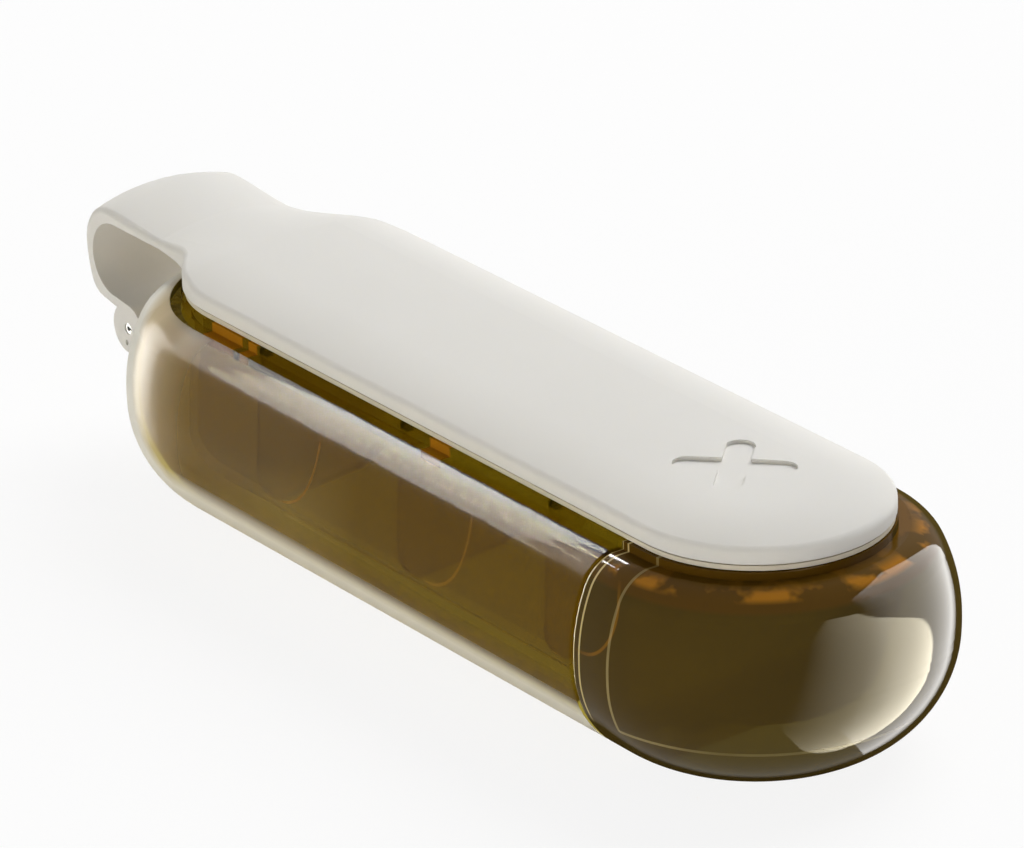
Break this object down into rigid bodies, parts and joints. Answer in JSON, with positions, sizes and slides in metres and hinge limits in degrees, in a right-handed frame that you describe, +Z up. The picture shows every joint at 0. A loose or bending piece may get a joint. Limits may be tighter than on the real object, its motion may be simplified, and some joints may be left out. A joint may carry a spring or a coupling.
{
  "type": "portable pill box",
  "caption": "Long pill box with half-round ends: tinted tub with inner tray and cross walls, pull-off clear nose, and a hinged lid that ends in a carrying loop.",
  "frame": {"origin": "middle of the flat base, halfway between the two round ends of the body", "axes": "+X towards the clear nose cap, along the body; +Z up, out of the lid; +Y to the left seen from behind"},
  "size_m": [0.1299, 0.0408, 0.0286],
  "materials": {
    "satin_amber": "translucent, satin",
    "clear_amber": "clear, polished",
    "cream_plastic": "fine satin",
    "cream_silicone": "soft matt",
    "pin_steel": "plain spring steel"
  },
  "bodies": {
    "tub": {"tub_shell": "satin_amber", "compartment_tray": "clear_amber", "divider_rear": "clear_amber", "divider_middle": "clear_amber", "divider_front": "clear_amber", "hinge_pin": "pin_steel"},
    "lid": {"lid_cover": "cream_plastic", "lid_liner": "cream_plastic", "lid_gasket": "cream_silicone"},
    "nose": {"nose_cap": "clear_amber"}
  },
  "joints": [
    {"name": "lid_hinge", "type": "hinge", "parent": "tub", "child": "lid", "pos_m": [-0.0619, 0, 0.0142], "axis": [0, -1, 0], "range_deg": [0, 120]},
    {"name": "nose_slide", "type": "slide", "parent": "tub", "child": "nose", "axis": [1, 0, 0], "range_m": [0, 0.03]}
  ]
}
